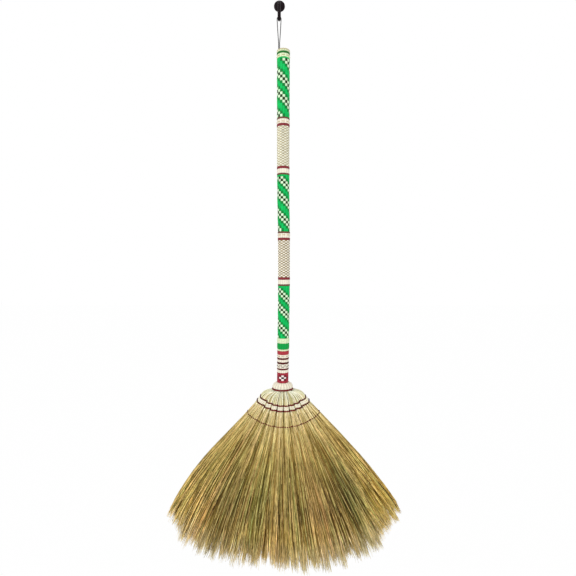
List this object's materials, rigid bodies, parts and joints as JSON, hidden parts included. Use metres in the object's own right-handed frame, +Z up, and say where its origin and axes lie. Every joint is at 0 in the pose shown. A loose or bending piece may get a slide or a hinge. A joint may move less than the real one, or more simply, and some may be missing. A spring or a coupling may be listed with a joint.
{
  "type": "straw broom",
  "caption": "Fan-shaped grass broom with a strip-woven stick handle, hanging by a thin cord loop from a small round wall hook.",
  "frame": {"origin": "centre of the wall hook's flat back, on the wall", "axes": "+Z up along the hanging handle, +Y into the wall, +X to the right as seen from the room"},
  "size_m": [0.4691, 0.0495, 1.1036],
  "materials": {
    "black_coating": "satin black coating",
    "pad_foam": "grey foam tape",
    "dark_cord": "thin twisted cord",
    "bare_wood": "plain sanded wood",
    "tan_strip": "split rattan",
    "green_strip": "woven green strip, satin",
    "ivory_strip": "woven split rattan",
    "cream_strip": "woven split rattan",
    "red_strip": "wound dark red strip, satin",
    "red_cord": "dark red cord",
    "plaited_straw": "flattened pale stalks",
    "steel_wire": "plain wire",
    "pale_stalk": "pale grass stalks",
    "straw": "dry grass, golden to olive"
  },
  "bodies": {
    "wall_hook": {"hook_pad": "pad_foam", "hook_plate": "black_coating", "hook_rod": "black_coating"},
    "cord_loop": {"hanging_cord": "dark_cord"},
    "broom": {"collar_cord_ring": "red_cord", "cord_tail": "dark_cord", "cream_collar": "cream_strip", "crown_cream_band": "cream_strip", "crown_green_ring": "green_strip", "end_rim": "tan_strip", "first_cream_band": "cream_strip", "first_dark_ring": "red_strip", "first_fine_ring": "red_strip", "fourth_cream_band": "cream_strip", "fourth_dark_ring": "red_strip", "fourth_fine_ring": "red_strip", "green_weave_lower": "green_strip", "green_weave_middle": "green_strip", "green_weave_upper": "green_strip", "handle_stick": "bare_wood", "hank_1": "straw", "hank_2": "straw", "hank_3": "straw", "hank_4": "straw", "hank_5": "straw", "hank_6": "straw", "hank_7": "straw", "hank_8": "straw", "ivory_weave_lower": "ivory_strip", "ivory_weave_upper": "ivory_strip", "last_cream_band": "cream_strip", "last_red_ring": "red_strip", "lined_cream_band": "cream_strip", "loop_knot": "dark_cord", "low_cream_band": "cream_strip", "low_green_band": "green_strip", "lower_stitch_cord": "red_cord", "marked_cream_band": "cream_strip", "motif_red_band": "red_strip", "narrow_cream_band": "cream_strip", "neck_binding": "steel_wire", "plain_cream_band": "cream_strip", "plain_red_band": "red_strip", "plaited_band": "plaited_straw", "seam_thread": "red_cord", "second_cream_band": "cream_strip", "second_dark_ring": "red_strip", "second_fine_ring": "red_strip", "stalk_neck": "pale_stalk", "thin_red_ring": "red_strip", "third_cream_band": "cream_strip", "third_dark_ring": "red_strip", "third_fine_ring": "red_strip", "upper_stitch_cord": "red_cord", "zigzag_ring": "red_strip"}
  },
  "joints": [
    {"name": "loop_swing", "type": "hinge", "parent": "wall_hook", "child": "cord_loop", "pos_m": [0, -0.032, -0.0432], "axis": [0, 1, 0], "range_deg": [-40, 40]},
    {"name": "broom_tilt", "type": "hinge", "parent": "cord_loop", "child": "broom", "pos_m": [0, -0.032, -0.1038], "axis": [-1, 0, 0], "range_deg": [0, 60]}
  ]
}
